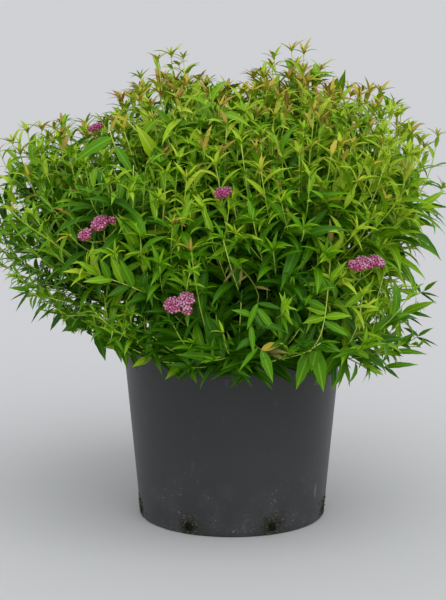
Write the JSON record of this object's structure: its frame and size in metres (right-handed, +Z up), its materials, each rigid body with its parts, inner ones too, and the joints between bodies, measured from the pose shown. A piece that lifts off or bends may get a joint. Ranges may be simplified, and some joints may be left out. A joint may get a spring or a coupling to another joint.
{
  "type": "potted anthony waterer spirea",
  "caption": "Rounded spirea shrub with narrow pointed leaves and flat pink flower heads, in a plain tapered nursery pot.",
  "frame": {"origin": "middle of the pot's flat underside", "axes": "+Z up, -Y towards the side that faces the viewer, +X to that viewer's right"},
  "size_m": [0.6115, 0.631, 0.6219],
  "materials": {
    "pot": "satin",
    "potting_mix": "matte",
    "bark": "matte",
    "foliage": "satin"
  },
  "bodies": {
    "root": {"pot": "pot", "potting_mix": "potting_mix", "stool": "bark", "cane_skirt_1": "bark", "cane_skirt_2": "bark", "cane_skirt_3": "bark", "cane_skirt_4": "bark", "cane_skirt_5": "bark", "cane_skirt_6": "bark", "cane_skirt_7": "bark", "cane_skirt_8": "bark", "cane_shoulder_1": "bark", "cane_shoulder_2": "bark", "cane_shoulder_3": "bark", "cane_shoulder_4": "bark", "cane_shoulder_5": "bark", "cane_shoulder_6": "bark", "cane_top_1": "bark", "cane_top_2": "bark", "cane_top_3": "bark", "foliage_skirt_1": "foliage", "foliage_skirt_2": "foliage", "foliage_skirt_3": "foliage", "foliage_skirt_4": "foliage", "foliage_skirt_5": "foliage", "foliage_skirt_6": "foliage", "foliage_skirt_7": "foliage", "foliage_skirt_8": "foliage", "foliage_shoulder_1": "foliage", "foliage_shoulder_2": "foliage", "foliage_shoulder_3": "foliage", "foliage_shoulder_4": "foliage", "foliage_shoulder_5": "foliage", "foliage_shoulder_6": "foliage", "foliage_top_1": "foliage", "foliage_top_2": "foliage", "foliage_top_3": "foliage"}
  },
  "joints": []
}
